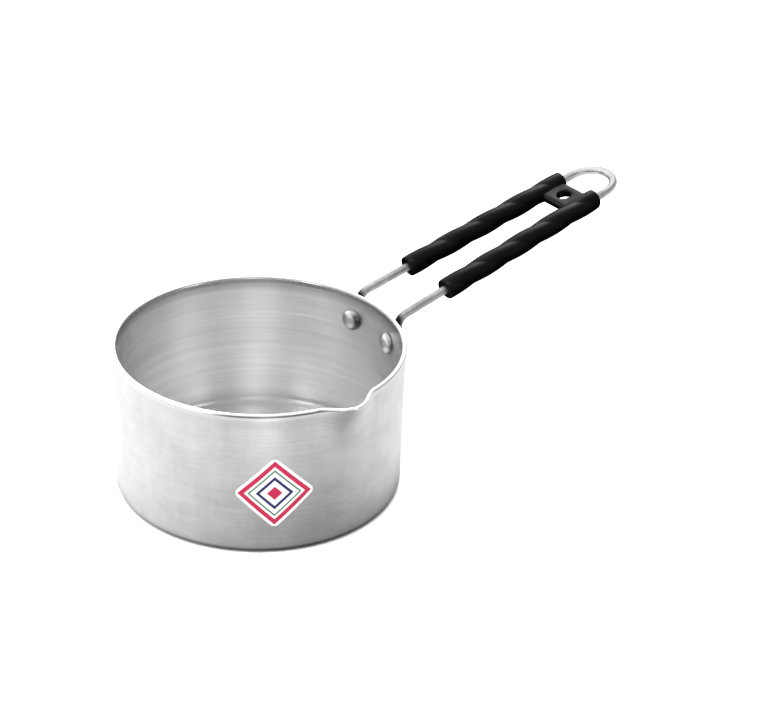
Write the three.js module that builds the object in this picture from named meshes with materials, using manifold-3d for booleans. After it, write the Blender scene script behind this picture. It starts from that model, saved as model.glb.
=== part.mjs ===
// Saucepan: a spun aluminium pan with a pressed pouring lip, and a handle bent from one steel wire
// that carries a moulded twin grip and is riveted to the wall.
// Millimetres, +Z up. The origin is the centre of the base's underside. The handle points along +X
// and the lip along -Y, on the left of someone who holds the handle in the right hand.

import * as THREE from "three";
import { mergeVertices } from "three/addons/utils/BufferGeometryUtils.js";
import Module from "manifold-3d";

const wasm = await Module();
wasm.setup();

// Gap kept between pieces that touch.
const GAP = 0.3;

// Vertices closer than this are one vertex.
const MERGE_DISTANCE = 1e-4;

// Pan
const PAN_HEIGHT = 84;
const RIM_RADIUS = 80;
const RIM_WIDTH = 3;
const RIM_DEPTH = 3.2;
const RIM_EDGE = 1.2;
const RIM_PROUD = 0.5;
const WALL_THICKNESS = 2.5;
const WALL_DRAFT = 0.7;
const BASE_THICKNESS = 3;
const BASE_CORNER = 3.5;
const PAN_SEGMENTS = 88;
const CORNER_STEPS = 2;

// Pouring lip, pressed outwards from the rim a little nearer the handle than a quarter turn
const LIP_REACH = 7.8;
const LIP_HALF_ANGLE = THREE.MathUtils.degToRad(14);
const LIP_TURN = THREE.MathUtils.degToRad(2);
const LIP_DEPTH = 32;
const LIP_LEVELS = 5;
const LIP_CROWDING = 0.5;

// Handle wire, measured along the handle from the front of the grip
const WIRE_DIAMETER = 4.8;
const WIRE_SIDES = 14;
const HANDLE_SLOPE = THREE.MathUtils.degToRad(13.8);
const GRIP_FRONT = new THREE.Vector3(113.7, 0, 90.9);
const LEG_SPACING = 34.6;
const LEG_CLOSING = 0.0436;
const BEND_REACH = 33.9;
const BEND_CUT = 5.5;
const LOOP_CENTRE = 123.8;
const LEG_STEPS = 2;
const BEND_STEPS = 6;
const LOOP_STEPS = 20;

// Flattened ends of the wire
const TAB_WIDTH = 9.4;
const TAB_THICKNESS = 2.2;
const TAB_SHOULDER = 3.2;
const TAB_END = 5.2;
const TAB_TIP = 0.2;
const ROUND_POWER = 2;
const TAB_POWER = 5;
const TAB_STEPS = 14;

// Rivets
const RIVET_HEIGHT = 68.5;
const SHANK_DIAMETER = 4.4;
const INNER_HEAD_DIAMETER = 12.4;
const INNER_HEAD_HEIGHT = 3.8;
const OUTER_HEAD_DIAMETER = 8;
const OUTER_HEAD_HEIGHT = 2;
const HEAD_EDGE = 0.5;
const HEAD_STEPS = 5;
const ROUND_SIDES = 24;

// Twin grip
const GRIP_LENGTH = 115.4;
const LOBES = 2;
const LOBE_RADIUS = 5.5;
const LOBE_OFFSET = 0.72;
const LOBE_STEPS = 6;
const TWIST_LENGTH = 50.3;
const TWIST_START = THREE.MathUtils.degToRad(6.5);
const TWIST_STEPS = 36;
const GRIP_END_ROUNDING = 0.8;
const GRIP_END_STEPS = 2;
const WEB_START = 95.5;
const WEB_LENGTH = 18.5;
const WEB_THICKNESS = 5;
const WEB_HOLE_DIAMETER = 10;
const WEB_HOLE_STEPS = 12;

// Materials
const SATIN_ALUMINIUM = { color: 0xc9cacb, roughness: 0.38, metalness: 1 };
const RIVET_ALUMINIUM = { color: 0xd4d5d6, roughness: 0.3, metalness: 1 };
const BRIGHT_STEEL = { color: 0xb9bbbd, roughness: 0.25, metalness: 1 };
const BLACK_PLASTIC = { color: 0x141416, roughness: 0.35, metalness: 0 };

// Directions of the handle: along it, up from its plane, and across it.
const ALONG = new THREE.Vector3(Math.cos(HANDLE_SLOPE), 0, Math.sin(HANDLE_SLOPE));
const ABOVE = new THREE.Vector3(-Math.sin(HANDLE_SLOPE), 0, Math.cos(HANDLE_SLOPE));
const ACROSS = new THREE.Vector3(0, 1, 0);

const SIDES = { left: 1, right: -1 };

// Turns a closed geometry into a solid that can be joined and cut.
function solidFrom(geometry) {
  const bare = geometry.clone();
  bare.deleteAttribute("normal");
  bare.deleteAttribute("uv");
  const merged = mergeVertices(bare, MERGE_DISTANCE);
  const triangles = [];
  for (let corner = 0; corner < merged.index.count; corner += 3) {
    const [a, b, c] = [0, 1, 2].map((step) => merged.index.getX(corner + step));
    if (a !== b && b !== c && c !== a) {
      triangles.push(a, b, c);
    }
  }
  const vertProperties = new Float32Array(merged.attributes.position.array);
  const triVerts = new Uint32Array(triangles);
  return new wasm.Manifold(new wasm.Mesh({ numProp: 3, vertProperties, triVerts }));
}

function geometryFrom(solid) {
  const mesh = solid.getMesh();
  const geometry = new THREE.BufferGeometry();
  geometry.setAttribute("position", new THREE.BufferAttribute(new Float32Array(mesh.vertProperties), 3));
  geometry.setIndex(new THREE.BufferAttribute(new Uint32Array(mesh.triVerts), 1));
  geometry.computeVertexNormals();
  return geometry;
}

// A point on one leg's centre line, at a distance along the handle from the front of the grip.
function legPoint(distance, side) {
  const half = (LEG_SPACING - LEG_CLOSING * distance) / 2;
  return GRIP_FRONT.clone().addScaledVector(ALONG, distance).addScaledVector(ACROSS, side * half);
}

function legDirection(side) {
  return legPoint(1, side).sub(legPoint(0, side)).normalize();
}

// The point where a leg's line meets the upright end of the wire, outside the wall.
function bendCorner(side) {
  return legPoint(-BEND_REACH, side);
}

function outward(side) {
  const corner = bendCorner(side);
  return new THREE.Vector3(corner.x, corner.y, 0).normalize();
}

// A rod along one leg, for the grip's bores.
function legRod(side, radius) {
  const rod = new THREE.CylinderGeometry(radius, radius, 2 * GRIP_LENGTH, ROUND_SIDES);
  const turn = new THREE.Quaternion().setFromUnitVectors(new THREE.Vector3(0, 1, 0), legDirection(side));
  rod.applyQuaternion(turn);
  const middle = legPoint(GRIP_LENGTH / 2, side);
  return rod.translate(middle.x, middle.y, middle.z);
}

// A rod along one rivet's axis, through the wall and the tab.
function rivetRod(side, diameter) {
  const rod = new THREE.CylinderGeometry(diameter / 2, diameter / 2, RIM_RADIUS, ROUND_SIDES);
  rod.applyQuaternion(new THREE.Quaternion().setFromUnitVectors(new THREE.Vector3(0, 1, 0), outward(side)));
  const middle = outward(side).multiplyScalar(RIM_RADIUS).setZ(RIVET_HEIGHT);
  return rod.translate(middle.x, middle.y, middle.z);
}

// The wall's outer radius, which narrows a little towards the base.
function wallRadius(height) {
  return RIM_RADIUS - RIM_PROUD - WALL_DRAFT * (1 - height / PAN_HEIGHT);
}

function panProfile() {
  const profile = new THREE.Path();
  const outerFoot = wallRadius(BASE_CORNER);
  const innerFoot = outerFoot - WALL_THICKNESS;
  const lipFoot = PAN_HEIGHT - LIP_DEPTH;
  const rimFoot = PAN_HEIGHT - RIM_DEPTH;
  const rimEdgeHeight = PAN_HEIGHT - RIM_EDGE;
  const levels = Array.from({ length: LIP_LEVELS }, (_, i) =>
    THREE.MathUtils.lerp(lipFoot, rimFoot, i / (LIP_LEVELS - 1)));
  profile.moveTo(0, 0);
  profile.lineTo(outerFoot - BASE_CORNER, 0);
  profile.absarc(outerFoot - BASE_CORNER, BASE_CORNER, BASE_CORNER, -Math.PI / 2, 0, false);
  levels.forEach((height) => profile.lineTo(wallRadius(height), height));
  profile.lineTo(RIM_RADIUS, rimFoot + RIM_PROUD);
  profile.absarc(RIM_RADIUS - RIM_EDGE, rimEdgeHeight, RIM_EDGE, 0, Math.PI / 2, false);
  profile.absarc(RIM_RADIUS - RIM_WIDTH + RIM_EDGE, rimEdgeHeight, RIM_EDGE, Math.PI / 2, Math.PI, false);
  levels.reverse().forEach((height) => profile.lineTo(wallRadius(height) - WALL_THICKNESS, height));
  profile.absarc(innerFoot - BASE_CORNER, BASE_THICKNESS + BASE_CORNER, BASE_CORNER, 0, -Math.PI / 2, true);
  profile.lineTo(0, BASE_THICKNESS);
  return profile.getPoints(CORNER_STEPS);
}

// Crowds the facets towards the lip and presses the wall out there, most at the rim.
function pressLip(geometry) {
  const position = geometry.attributes.position;
  for (let i = 0; i < position.count; i++) {
    const height = position.getZ(i);
    const even = Math.atan2(position.getX(i), -position.getY(i));
    const turn = even - LIP_CROWDING * Math.sin(even);
    const heading = turn + LIP_TURN;
    const across = Math.min(Math.abs(turn) / LIP_HALF_ANGLE, 1);
    const swell = Math.cos((across * Math.PI) / 2) ** 2;
    const rise = THREE.MathUtils.clamp((height - PAN_HEIGHT + LIP_DEPTH) / LIP_DEPTH, 0, 1);
    const radius = Math.hypot(position.getX(i), position.getY(i)) + LIP_REACH * swell * rise ** 2;
    position.setXYZ(i, radius * Math.sin(heading), -radius * Math.cos(heading), height);
  }
  return geometry;
}

function panGeometry() {
  const spun = new THREE.LatheGeometry(panProfile(), PAN_SEGMENTS);
  spun.rotateX(Math.PI / 2);
  let pan = solidFrom(pressLip(spun));
  for (const side of Object.values(SIDES)) {
    pan = pan.subtract(solidFrom(rivetRod(side, SHANK_DIAMETER + 2 * GAP)));
  }
  return geometryFrom(pan);
}

// The bow of the wire, a round turn in the handle's plane that is tangent to both legs.
class LoopCurve extends THREE.Curve {
  constructor() {
    super();
    const closing = Math.atan(LEG_CLOSING / 2);
    this.radius = legPoint(LOOP_CENTRE, SIDES.left).y * Math.cos(closing);
    this.reach = Math.PI / 2 - closing;
    this.centre = legPoint(LOOP_CENTRE, SIDES.left).setY(0);
  }

  getPoint(t, target = new THREE.Vector3()) {
    const turn = THREE.MathUtils.lerp(-this.reach, this.reach, t);
    target.copy(this.centre).addScaledVector(ALONG, this.radius * Math.cos(turn));
    return target.addScaledVector(ACROSS, this.radius * Math.sin(turn));
  }
}

// The wire's centre line on one side, from the end of the tab to the start of the loop.
function legCurves(side, loopStart) {
  const corner = bendCorner(side);
  const tabEnd = corner.clone().setZ(RIVET_HEIGHT - TAB_END);
  const bendStart = corner.clone().setZ(corner.z - BEND_CUT);
  const bendEnd = legPoint(BEND_CUT - BEND_REACH, side);
  return [
    new THREE.LineCurve3(tabEnd, bendStart),
    new THREE.QuadraticBezierCurve3(bendStart, corner, bendEnd),
    new THREE.LineCurve3(bendEnd, loopStart),
  ];
}

// The wire's section: round along the legs, and pressed flat against the wall below the bend.
function wireSection(point) {
  const bendFoot = bendCorner(SIDES.left).z - BEND_CUT;
  const flat = THREE.MathUtils.smoothstep(bendFoot - point.z, 0, TAB_SHOULDER);
  const below = Math.max(RIVET_HEIGHT - point.z, 0) / TAB_END;
  const tabRadius = wallRadius(RIVET_HEIGHT) + GAP + TAB_THICKNESS / 2;
  const dropRadius = Math.hypot(bendCorner(SIDES.left).x, bendCorner(SIDES.left).y);
  const rounding = Math.sqrt(Math.max(1 - below ** 2, TAB_TIP ** 2));
  return {
    width: THREE.MathUtils.lerp(WIRE_DIAMETER, TAB_WIDTH, flat) * rounding,
    thickness: THREE.MathUtils.lerp(WIRE_DIAMETER, TAB_THICKNESS, flat),
    power: THREE.MathUtils.lerp(ROUND_POWER, TAB_POWER, flat),
    inset: flat * (dropRadius - tabRadius),
  };
}

// Sweeps the changing section along the wire's curves and closes both ends.
function sweepWire(curves, firstSide, stepsFor) {
  const vertices = [];
  const triangles = [];
  const side = firstSide.clone();
  let lastTangent = null;
  let rings = 0;
  const addRing = (centre, tangent) => {
    if (lastTangent) {
      side.applyQuaternion(new THREE.Quaternion().setFromUnitVectors(lastTangent, tangent));
    }
    lastTangent = tangent;
    const section = wireSection(centre);
    const inward = new THREE.Vector3(-centre.x, -centre.y, 0).normalize();
    const middle = centre.clone().addScaledVector(inward, section.inset);
    const face = new THREE.Vector3().crossVectors(tangent, side);
    for (let i = 0; i < WIRE_SIDES; i++) {
      const turn = (2 * Math.PI * i) / WIRE_SIDES;
      const spread = (value) => Math.sign(value) * Math.abs(value) ** (2 / section.power);
      const vertex = middle.clone();
      vertex.addScaledVector(side, (section.width / 2) * spread(Math.cos(turn)));
      vertex.addScaledVector(face, (section.thickness / 2) * spread(Math.sin(turn)));
      vertices.push(vertex.x, vertex.y, vertex.z);
    }
    rings += 1;
  };
  curves.forEach((curve, index) => {
    const steps = stepsFor[index];
    for (let step = index === 0 ? 0 : 1; step <= steps; step++) {
      addRing(curve.getPoint(step / steps), curve.getTangent(step / steps));
    }
  });
  for (let ring = 0; ring + 1 < rings; ring++) {
    for (let i = 0; i < WIRE_SIDES; i++) {
      const a = ring * WIRE_SIDES + i;
      const b = ring * WIRE_SIDES + ((i + 1) % WIRE_SIDES);
      triangles.push(a, b, b + WIRE_SIDES, a, b + WIRE_SIDES, a + WIRE_SIDES);
    }
  }
  const lastRing = (rings - 1) * WIRE_SIDES;
  for (let i = 1; i + 1 < WIRE_SIDES; i++) {
    triangles.push(0, i + 1, i, lastRing, lastRing + i, lastRing + i + 1);
  }
  const geometry = new THREE.BufferGeometry();
  geometry.setAttribute("position", new THREE.Float32BufferAttribute(vertices, 3));
  geometry.setIndex(triangles);
  return geometry;
}

function handleGeometry() {
  const loop = new LoopCurve();
  const rightLeg = legCurves(SIDES.right, loop.getPoint(0));
  const leftLeg = legCurves(SIDES.left, loop.getPoint(1)).reverse().map(reversed);
  const tabAcross = new THREE.Vector3(0, 0, 1).cross(outward(SIDES.right));
  const legSteps = [TAB_STEPS, BEND_STEPS, LEG_STEPS];
  const steps = [...legSteps, LOOP_STEPS, ...legSteps.toReversed()];
  let wire = solidFrom(sweepWire([...rightLeg, loop, ...leftLeg], tabAcross, steps));
  for (const side of Object.values(SIDES)) {
    wire = wire.subtract(solidFrom(rivetRod(side, SHANK_DIAMETER + 2 * GAP)));
  }
  return geometryFrom(wire);
}

// The same curve, followed from its other end.
function reversed(curve) {
  if (curve.isLineCurve3) {
    return new THREE.LineCurve3(curve.v2, curve.v1);
  }
  return new THREE.QuadraticBezierCurve3(curve.v2, curve.v1, curve.v0);
}

// A rivet's domed head in the lathe's plane, from the edge at the seat to the axis.
function headProfile(diameter, height) {
  const points = [];
  for (let step = 0; step <= HEAD_STEPS; step++) {
    const turn = (step / HEAD_STEPS) * (Math.PI / 2);
    const radius = (diameter / 2) * Math.cos(turn);
    points.push(new THREE.Vector2(radius, HEAD_EDGE + (height - HEAD_EDGE) * Math.sin(turn)));
  }
  return [new THREE.Vector2(diameter / 2, 0), ...points];
}

// A rivet along its own axis, turned to point out through the wall.
function rivetGeometry(side) {
  const innerWall = wallRadius(RIVET_HEIGHT) - WALL_THICKNESS;
  const headDip = innerWall - Math.sqrt(innerWall ** 2 - (INNER_HEAD_DIAMETER / 2) ** 2);
  const innerSeat = innerWall - headDip - GAP;
  const outerSeat = wallRadius(RIVET_HEIGHT) + TAB_THICKNESS + 2 * GAP;
  const inner = headProfile(INNER_HEAD_DIAMETER, INNER_HEAD_HEIGHT).reverse();
  const outer = headProfile(OUTER_HEAD_DIAMETER, OUTER_HEAD_HEIGHT);
  const profile = [
    ...inner.map((point) => new THREE.Vector2(point.x, innerSeat - point.y)),
    new THREE.Vector2(SHANK_DIAMETER / 2, innerSeat),
    new THREE.Vector2(SHANK_DIAMETER / 2, outerSeat),
    ...outer.map((point) => new THREE.Vector2(point.x, outerSeat + point.y)),
  ];
  const rivet = new THREE.LatheGeometry(profile, ROUND_SIDES);
  rivet.applyQuaternion(new THREE.Quaternion().setFromUnitVectors(new THREE.Vector3(0, 1, 0), outward(side)));
  return geometryFrom(solidFrom(rivet.translate(0, 0, RIVET_HEIGHT)));
}

// The sleeve's section, two round lobes that meet in shallow grooves.
function lobedSection() {
  const shape = new THREE.Shape();
  const halfLobe = Math.PI / LOBES;
  const sunk = LOBE_OFFSET * Math.sin(halfLobe);
  const grooveRadius = LOBE_OFFSET * Math.cos(halfLobe) + Math.sqrt(LOBE_RADIUS ** 2 - sunk ** 2);
  const reach = Math.atan2(
    grooveRadius * Math.sin(halfLobe),
    grooveRadius * Math.cos(halfLobe) - LOBE_OFFSET,
  );
  for (let lobe = 0; lobe < LOBES; lobe++) {
    const turn = 2 * halfLobe * lobe;
    const x = LOBE_OFFSET * Math.cos(turn);
    const y = LOBE_OFFSET * Math.sin(turn);
    shape.absarc(x, y, LOBE_RADIUS, turn - reach, turn + reach, false);
  }
  return shape;
}

// One twisted sleeve, laid along its leg.
function sleeveGeometry(side) {
  const sleeve = new THREE.ExtrudeGeometry(lobedSection(), {
    depth: GRIP_LENGTH - 2 * GRIP_END_ROUNDING,
    steps: TWIST_STEPS,
    curveSegments: LOBE_STEPS,
    bevelThickness: GRIP_END_ROUNDING,
    bevelSize: GRIP_END_ROUNDING,
    bevelOffset: -GRIP_END_ROUNDING,
    bevelSegments: GRIP_END_STEPS,
  });
  sleeve.translate(0, 0, GRIP_END_ROUNDING);
  const position = sleeve.attributes.position;
  const point = new THREE.Vector3();
  const axis = new THREE.Vector3(0, 0, 1);
  for (let i = 0; i < position.count; i++) {
    point.fromBufferAttribute(position, i);
    point.applyAxisAngle(axis, TWIST_START + (2 * Math.PI * point.z) / TWIST_LENGTH);
    position.setXYZ(i, point.x, point.y, point.z);
  }
  const direction = legDirection(side);
  const lateral = new THREE.Vector3().crossVectors(ABOVE, direction);
  sleeve.applyMatrix4(new THREE.Matrix4().makeBasis(lateral, ABOVE, direction));
  const front = legPoint(0, side);
  return sleeve.translate(front.x, front.y, front.z);
}

// The pierced web between the two sleeves, drawn in the handle's plane.
function webGeometry() {
  const half = legPoint(WEB_START + WEB_LENGTH / 2, SIDES.left).y;
  const outline = new THREE.Shape();
  outline.moveTo(WEB_START, -half);
  outline.lineTo(WEB_START + WEB_LENGTH, -half);
  outline.lineTo(WEB_START + WEB_LENGTH, half);
  outline.lineTo(WEB_START, half);
  outline.closePath();
  const hole = new THREE.Path();
  hole.absarc(WEB_START + WEB_LENGTH / 2, 0, WEB_HOLE_DIAMETER / 2, 0, 2 * Math.PI, true);
  outline.holes.push(hole);
  const web = new THREE.ExtrudeGeometry(outline, {
    depth: WEB_THICKNESS,
    curveSegments: WEB_HOLE_STEPS,
    bevelEnabled: false,
  });
  web.translate(0, 0, -WEB_THICKNESS / 2);
  web.applyMatrix4(new THREE.Matrix4().makeBasis(ALONG, ACROSS, ABOVE));
  return web.translate(GRIP_FRONT.x, GRIP_FRONT.y, GRIP_FRONT.z);
}

function gripGeometry() {
  let grip = solidFrom(webGeometry());
  for (const side of Object.values(SIDES)) {
    grip = grip.add(solidFrom(sleeveGeometry(side)));
  }
  for (const side of Object.values(SIDES)) {
    grip = grip.subtract(solidFrom(legRod(side, WIRE_DIAMETER / 2 + GAP)));
  }
  return geometryFrom(grip);
}

function piece(name, geometry, material) {
  const mesh = new THREE.Mesh(geometry, new THREE.MeshStandardMaterial(material));
  mesh.name = name;
  return mesh;
}

const saucepan = new THREE.Group();
saucepan.add(piece("pan_body", panGeometry(), SATIN_ALUMINIUM));
saucepan.add(piece("handle_wire", handleGeometry(), BRIGHT_STEEL));
saucepan.add(piece("twin_grip", gripGeometry(), BLACK_PLASTIC));
for (const [name, side] of Object.entries(SIDES)) {
  saucepan.add(piece(`rivet_${name}`, rivetGeometry(side), RIVET_ALUMINIUM));
}

export default saucepan;
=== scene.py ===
"""A spun aluminium saucepan with a pouring lip and a handle of bent steel wire with black twisted grips."""

import math

import bmesh
import bpy
from mathutils import Matrix, Vector


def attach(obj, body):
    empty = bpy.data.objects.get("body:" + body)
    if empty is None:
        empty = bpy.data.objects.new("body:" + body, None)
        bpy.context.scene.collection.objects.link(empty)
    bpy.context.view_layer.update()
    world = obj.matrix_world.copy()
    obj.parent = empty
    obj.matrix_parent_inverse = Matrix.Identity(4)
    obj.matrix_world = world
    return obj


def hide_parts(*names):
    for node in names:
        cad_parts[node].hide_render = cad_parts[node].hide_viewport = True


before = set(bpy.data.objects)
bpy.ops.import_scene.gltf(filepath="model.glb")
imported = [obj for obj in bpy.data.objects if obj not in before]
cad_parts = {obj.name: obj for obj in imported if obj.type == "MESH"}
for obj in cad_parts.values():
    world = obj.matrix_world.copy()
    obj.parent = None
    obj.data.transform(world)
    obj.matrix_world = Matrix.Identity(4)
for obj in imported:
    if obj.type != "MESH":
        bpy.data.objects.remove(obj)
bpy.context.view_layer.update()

# Camera
# A long lens looks down into the pan from the lip's side, with the handle running away to the right.
# It is rolled by two degrees, as the photograph is.
AIM = Vector((0.0821, 0.0, 0.0508))
CAMERA_AZIMUTH = math.radians(-37.8)
CAMERA_ELEVATION = math.radians(28.7)
CAMERA_ROLL = math.radians(2.1)
CAMERA_DISTANCE = 1.2
FOCAL_PIXELS = 2110.5
IMAGE_WIDTH = 758
SENSOR = 36.0

toward_camera = Vector((
    math.sin(CAMERA_AZIMUTH) * math.cos(CAMERA_ELEVATION),
    -math.cos(CAMERA_AZIMUTH) * math.cos(CAMERA_ELEVATION),
    math.sin(CAMERA_ELEVATION),
))
level_right = Vector((math.cos(CAMERA_AZIMUTH), math.sin(CAMERA_AZIMUTH), 0.0))
level_up = toward_camera.cross(level_right)
camera_right = level_right * math.cos(CAMERA_ROLL) + level_up * math.sin(CAMERA_ROLL)
camera_up = level_up * math.cos(CAMERA_ROLL) - level_right * math.sin(CAMERA_ROLL)

lens = bpy.data.cameras.new("camera")
lens.sensor_fit = "HORIZONTAL"
lens.sensor_width = SENSOR
lens.lens = FOCAL_PIXELS / IMAGE_WIDTH * SENSOR
camera = bpy.data.objects.new("camera", lens)
bpy.context.collection.objects.link(camera)
camera.matrix_world = Matrix.LocRotScale(
    AIM + CAMERA_DISTANCE * toward_camera,
    Matrix((camera_right, camera_up, toward_camera)).transposed().to_quaternion(),
    None,
)
bpy.context.scene.camera = camera


# Pan
# One disc of heavy aluminium, drawn and spun to a straight wall that swells a little into a rounded rim.
# The pouring lip is pressed into the wall afterwards. The outside is satin, the rim is bright, and the
# inside keeps the lines of the spinning.
PAN_HEIGHT = 0.084
RIM_RADIUS = 0.080
RIM_WIDTH = 0.0030
RIM_DEPTH = 0.0032
RIM_EDGE = 0.0012
RIM_PROUD = 0.0005
SWELL_START = 0.074
WALL_THICKNESS = 0.0025
WALL_DRAFT = 0.0007
BASE_THICKNESS = 0.003
BASE_CORNER = 0.0035
INNER_CORNER = 0.0050
LIP_REACH = 0.0078
LIP_HALF_ANGLE = math.radians(14)
LIP_TURN = math.radians(2)
LIP_DEPTH = 0.032
LIP_CROWDING = 0.5
PAN_SEGMENTS = 320
WALL_RINGS = 40
CORNER_RINGS = 8
FLOOR_RINGS = 12


def wall_radius(height):
    """The outside of the wall, which leans out a little on its way up."""
    return RIM_RADIUS - RIM_PROUD - WALL_DRAFT * (1 - height / PAN_HEIGHT)


def smooth_rise(value, high):
    """0 up to zero and 1 from high on, with a smooth rise between them."""
    share = min(max(value / high, 0.0), 1.0)
    return share * share * (3 - 2 * share)


def outer_radius(height):
    """The outside of the wall with its swell into the rim."""
    swell_height = PAN_HEIGHT - RIM_EDGE - SWELL_START
    return wall_radius(height) + RIM_PROUD * smooth_rise(height - SWELL_START, swell_height)


def arc(centre_radius, centre_height, radius, start, stop):
    """Points of a rounded edge in the pan's section, from one angle in degrees to another."""
    points = []
    for step in range(CORNER_RINGS + 1):
        turn = math.radians(start + (stop - start) * step / CORNER_RINGS)
        points.append((centre_radius + radius * math.cos(turn), centre_height + radius * math.sin(turn)))
    return points


def spread(start, stop, count):
    """Even steps between two numbers, without the ends."""
    return [start + (stop - start) * step / count for step in range(1, count)]


def press_lip(radius, height, even):
    """Where the pressing puts a point of the spun wall, given its even angle from the lip."""
    turn = even - LIP_CROWDING * math.sin(even)
    off_lip = min(abs(turn) / LIP_HALF_ANGLE, 1)
    swell = math.cos(off_lip * math.pi / 2) ** 2
    rise = min(max((height - PAN_HEIGHT + LIP_DEPTH) / LIP_DEPTH, 0), 1)
    pressed = radius + LIP_REACH * swell * rise ** 2
    heading = turn + LIP_TURN
    return Vector((pressed * math.sin(heading), -pressed * math.cos(heading), height))


def join_rings(mesh, rings):
    """A skin over rings of vertices, given back as one list of faces for each pair of rings."""
    bands = []
    for lower, upper in zip(rings, rings[1:]):
        band = []
        for step in range(len(lower)):
            following = (step + 1) % len(lower)
            band.append(mesh.faces.new((lower[step], lower[following], upper[following], upper[step])))
        bands.append(band)
    return bands


def close_end(mesh, ring, tip):
    """A fan of faces from the last ring of a skin to a tip."""
    point = mesh.verts.new(tip)
    return [mesh.faces.new((point, ring[step - 1], ring[step])) for step in range(len(ring))]


foot = wall_radius(BASE_CORNER) - BASE_CORNER
rim_foot = PAN_HEIGHT - RIM_DEPTH
rim_edge_height = PAN_HEIGHT - RIM_EDGE
inner_foot_height = BASE_THICKNESS + INNER_CORNER
inner_foot = wall_radius(inner_foot_height) - WALL_THICKNESS - INNER_CORNER
heights = spread(BASE_CORNER, rim_foot, WALL_RINGS) + [rim_foot]
inner_heights = [height for height in reversed(heights) if height > inner_foot_height]

outside = [(radius, 0.0) for radius in spread(0, foot, FLOOR_RINGS)]
outside += arc(foot, BASE_CORNER, BASE_CORNER, -90, 0)
outside += [(outer_radius(height), height) for height in heights]
rim = arc(RIM_RADIUS - RIM_EDGE, rim_edge_height, RIM_EDGE, 0, 90)
rim += arc(RIM_RADIUS - RIM_WIDTH + RIM_EDGE, rim_edge_height, RIM_EDGE, 90, 180)
inside = [(wall_radius(height) - WALL_THICKNESS, height) for height in inner_heights]
inside += arc(inner_foot, inner_foot_height, INNER_CORNER, 0, -90)
inside += [(radius, BASE_THICKNESS) for radius in spread(inner_foot, 0, FLOOR_RINGS)]
OUTSIDE, RIM, INSIDE = range(3)
zones = [OUTSIDE] * len(outside) + [RIM] * len(rim) + [INSIDE] * len(inside)

pan_mesh = bmesh.new()
pan_rings = []
evens = [2 * math.pi * step / PAN_SEGMENTS - math.pi for step in range(PAN_SEGMENTS)]
for radius, height in outside + rim + inside:
    pan_rings.append([pan_mesh.verts.new(press_lip(radius, height, even)) for even in evens])
for band, pair in zip(join_rings(pan_mesh, pan_rings), zip(zones, zones[1:])):
    for face in band:
        face.material_index = RIM if RIM in pair else pair[0]
for face in close_end(pan_mesh, pan_rings[0][::-1], (0.0, 0.0, 0.0)):
    face.material_index = OUTSIDE
for face in close_end(pan_mesh, pan_rings[-1], (0.0, 0.0, BASE_THICKNESS)):
    face.material_index = INSIDE


def add_piece(name, mesh, finishes, crisp=None):
    """A smooth object from a bmesh with its finishes, where edges past the crisp angle stay sharp."""
    mesh.normal_update()
    data = bpy.data.meshes.new(name)
    mesh.to_mesh(data)
    mesh.free()
    data.shade_smooth()
    if crisp is not None:
        data.set_sharp_from_angle(angle=crisp)
    for finish in finishes:
        data.materials.append(finish)
    made = bpy.data.objects.new(name, data)
    bpy.context.collection.objects.link(made)
    return made


class Shade:
    """One value in a node tree. Arithmetic on it adds the Math nodes that work it out."""

    def __init__(self, tree, socket=None):
        self.tree = tree
        self.socket = socket

    def node(self, kind, settings=None, inputs=None, output=0):
        """Any node: its settings are made first, then its values and links, and one output is given back."""
        made = self.tree.nodes.new(kind)
        for name, value in (settings or {}).items():
            setattr(made, name, value)
        for name, value in (inputs or {}).items():
            if isinstance(value, Shade):
                self.tree.links.new(value.socket, made.inputs[name])
            else:
                made.inputs[name].default_value = value
        return Shade(self.tree, made.outputs[output])

    def maths(self, operation, *values):
        return self.node("ShaderNodeMath", {"operation": operation}, dict(enumerate(values)))

    def __add__(self, other):
        return self.maths("ADD", self, other)

    def __radd__(self, other):
        return self.maths("ADD", other, self)

    def __sub__(self, other):
        return self.maths("SUBTRACT", self, other)

    def __rsub__(self, other):
        return self.maths("SUBTRACT", other, self)

    def __mul__(self, other):
        return self.maths("MULTIPLY", self, other)

    def __rmul__(self, other):
        return self.maths("MULTIPLY", other, self)

    def __truediv__(self, other):
        return self.maths("DIVIDE", self, other)

    def __rtruediv__(self, other):
        return self.maths("DIVIDE", other, self)

    def __pow__(self, other):
        return self.maths("POWER", self, other)

    def __rpow__(self, other):
        return self.maths("POWER", other, self)

    def __abs__(self):
        return self.maths("ABSOLUTE", self)

    def sign(self):
        return self.maths("SIGN", self)

    def at_least(self, low):
        return self.maths("MAXIMUM", self, low)

    def swing(self, amount):
        """A noise's distance from its middle, times an amount."""
        return (self - 0.5) * amount

    def between(self, low, high):
        """0 below low and 1 above high, with a smooth rise."""
        return self.node("ShaderNodeMapRange", {"interpolation_type": "SMOOTHSTEP"},
                         {"Value": self, "From Min": low, "From Max": high})

    def within(self, rise, fall):
        """1 between a rise and a fall, each from one limit to another, and 0 outside them."""
        return self.between(*rise) * (1 - self.between(*fall))

    def colours(self, first, second):
        """A colour from the first to the second as the value goes from 0 to 1."""
        factor, first_colour, second_colour, result = 0, 6, 7, 2
        return self.node("ShaderNodeMix", {"data_type": "RGBA"},
                         {factor: self, first_colour: first, second_colour: second}, output=result)

    def parts(self):
        """The x, y and z of a vector."""
        return [self.node("ShaderNodeSeparateXYZ", None, {"Vector": self}, output=axis) for axis in "XYZ"]


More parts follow.
